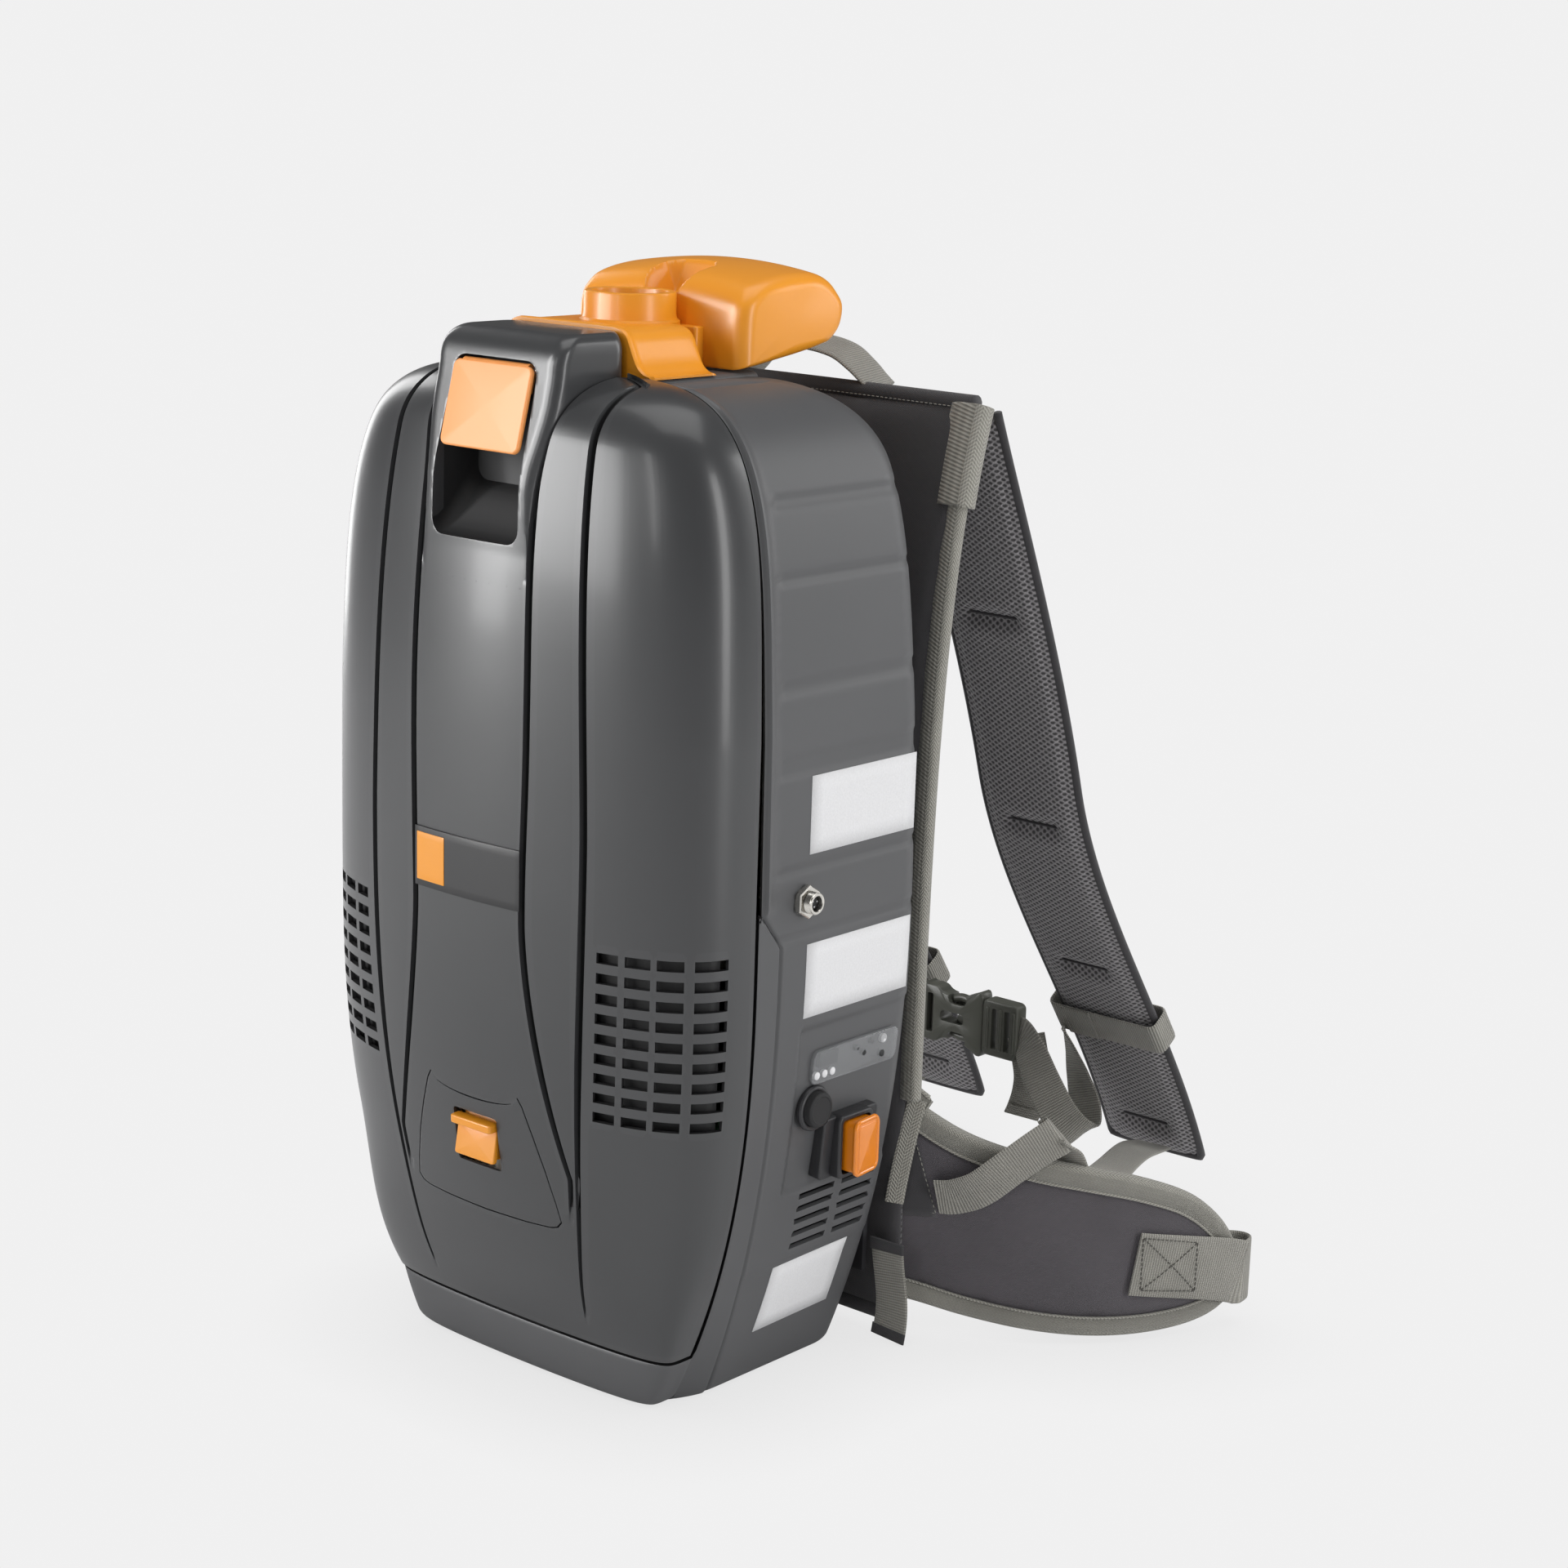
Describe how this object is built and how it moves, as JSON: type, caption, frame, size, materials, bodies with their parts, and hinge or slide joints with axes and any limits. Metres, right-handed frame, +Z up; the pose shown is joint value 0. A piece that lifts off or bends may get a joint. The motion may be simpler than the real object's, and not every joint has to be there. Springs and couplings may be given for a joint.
{
  "type": "backpack vacuum cleaner",
  "caption": "Battery backpack vacuum cleaner: upright moulded body with tilting front lid, top hose inlet, side controls and a padded harness with hip belt.",
  "frame": {"origin": "on the underside of the base, in the left-right symmetry plane, at the parting plane between lid and housing", "axes": "+Z up, -Y towards the front lid, +Y towards the wearer and harness, +X towards the side with the switch and charging socket"},
  "size_m": [0.5214, 0.554, 0.613],
  "materials": {
    "shell_grey": "satin moulded grain",
    "accent_orange": "smooth satin gloss",
    "black_plastic": "matt moulded",
    "black_rubber": "matt",
    "bag_paper": "soft fibre",
    "collar_card": "matt",
    "filter_media": "soft fibre",
    "bright_steel": "ground",
    "motor_iron": "laminated",
    "fan_aluminium": "satin",
    "nickel": "satin nickel",
    "circuit": "lacquered",
    "clear_window": "polished clear",
    "label_white": "laminated satin",
    "badge_black": "satin",
    "switch_orange": "translucent",
    "pad_mesh": "spacer mesh",
    "hip_fabric": "woven",
    "webbing": "ribbed weave",
    "buckle_grey": "satin moulded"
  },
  "bodies": {
    "carrier": {"front_frame": "shell_grey", "lid_hinge_pin": "bright_steel", "rear_housing": "shell_grey", "chamber_floor": "black_plastic", "hose_inlet": "accent_orange", "inlet_seal": "black_rubber", "bag_collar": "collar_card", "dust_bag": "bag_paper", "filter_frame": "black_plastic", "pre_filter": "filter_media", "motor_housing": "black_plastic", "motor_cover": "black_plastic", "motor_mounts": "black_rubber", "motor_stator": "motor_iron", "motor_bearings": "bright_steel", "battery_pack": "black_plastic", "battery_cradle": "black_plastic", "control_board": "circuit", "indicator_window": "clear_window", "button_bezel": "black_plastic", "switch_body": "black_plastic", "charge_socket": "nickel", "socket_nut": "nickel", "side_labels": "label_white", "housing_screws": "bright_steel", "harness_board": "black_plastic", "back_pad": "pad_mesh", "shoulder_strap_right": "pad_mesh", "shoulder_strap_left": "pad_mesh", "strap_band_right": "webbing", "strap_band_left": "webbing", "lower_webbing_right": "webbing", "lower_webbing_left": "webbing", "sternum_webbing_right": "webbing", "sternum_webbing_left": "webbing", "buckle_female": "buckle_grey", "lower_tabs": "webbing"},
    "lid": {"lid_shell": "shell_grey", "lid_seal": "black_rubber", "badge_plate": "badge_black", "release_pin": "bright_steel", "exhaust_filter": "filter_media"},
    "release_handle": {"release_handle": "accent_orange"},
    "exhaust_door": {"exhaust_door": "shell_grey"},
    "door_latch": {"door_latch": "accent_orange"},
    "rotor": {"rotor_shaft": "bright_steel", "fan_wheel": "fan_aluminium"},
    "speed_button": {"speed_button": "black_rubber"},
    "switch_rocker": {"switch_rocker": "switch_orange"},
    "buckle_male": {"buckle_male": "buckle_grey"},
    "grab_handle": {"grab_handle": "webbing"},
    "hip_wing_right": {"hip_wing_right": "hip_fabric", "hip_webbing_right": "webbing", "hip_buckle_female": "buckle_grey"},
    "hip_wing_left": {"hip_wing_left": "hip_fabric", "hip_webbing_left": "webbing", "hip_buckle_male": "buckle_grey"}
  },
  "joints": [
    {"name": "lid_tilt", "type": "hinge", "parent": "carrier", "child": "lid", "pos_m": [0, -0.022, 0.0275], "axis": [1, 0, 0], "range_deg": [0, 75]},
    {"name": "release_pull", "type": "hinge", "parent": "lid", "child": "release_handle", "pos_m": [0, -0.05, 0.562], "axis": [-1, 0, 0], "range_deg": [0, 25]},
    {"name": "door_drop", "type": "hinge", "parent": "lid", "child": "exhaust_door", "pos_m": [0, -0.0518, 0.1015], "axis": [1, 0, 0], "range_deg": [0, 80]},
    {"name": "latch_slide", "type": "slide", "parent": "exhaust_door", "child": "door_latch", "axis": [0, 0.155, -0.9879], "range_m": [0, 0.004]},
    {"name": "rotor_spin", "type": "hinge", "parent": "carrier", "child": "rotor", "pos_m": [0, 0.064, 0.08], "axis": [0, 0, 1], "continuous": true},
    {"name": "speed_press", "type": "slide", "parent": "carrier", "child": "speed_button", "axis": [-1, 0, 0], "range_m": [0, 0.0025]},
    {"name": "switch_rock", "type": "hinge", "parent": "carrier", "child": "switch_rocker", "pos_m": [0.14, 0.087, 0.142], "axis": [0, 0, 1], "range_deg": [-12, 0]},
    {"name": "chest_buckle_slide", "type": "slide", "parent": "carrier", "child": "buckle_male", "axis": [1, 0, 0], "range_m": [0, 0.03]},
    {"name": "grab_handle_fold", "type": "hinge", "parent": "carrier", "child": "grab_handle", "pos_m": [0, 0.206, 0.5425], "axis": [-1, 0, 0], "range_deg": [0, 60]},
    {"name": "hip_wing_right_swing", "type": "hinge", "parent": "carrier", "child": "hip_wing_right", "pos_m": [0.134, 0.172, 0.08], "axis": [0, 0, 1], "range_deg": [0, 35]},
    {"name": "hip_wing_left_swing", "type": "hinge", "parent": "carrier", "child": "hip_wing_left", "pos_m": [-0.134, 0.172, 0.08], "axis": [0, 0, -1], "range_deg": [0, 35]}
  ]
}
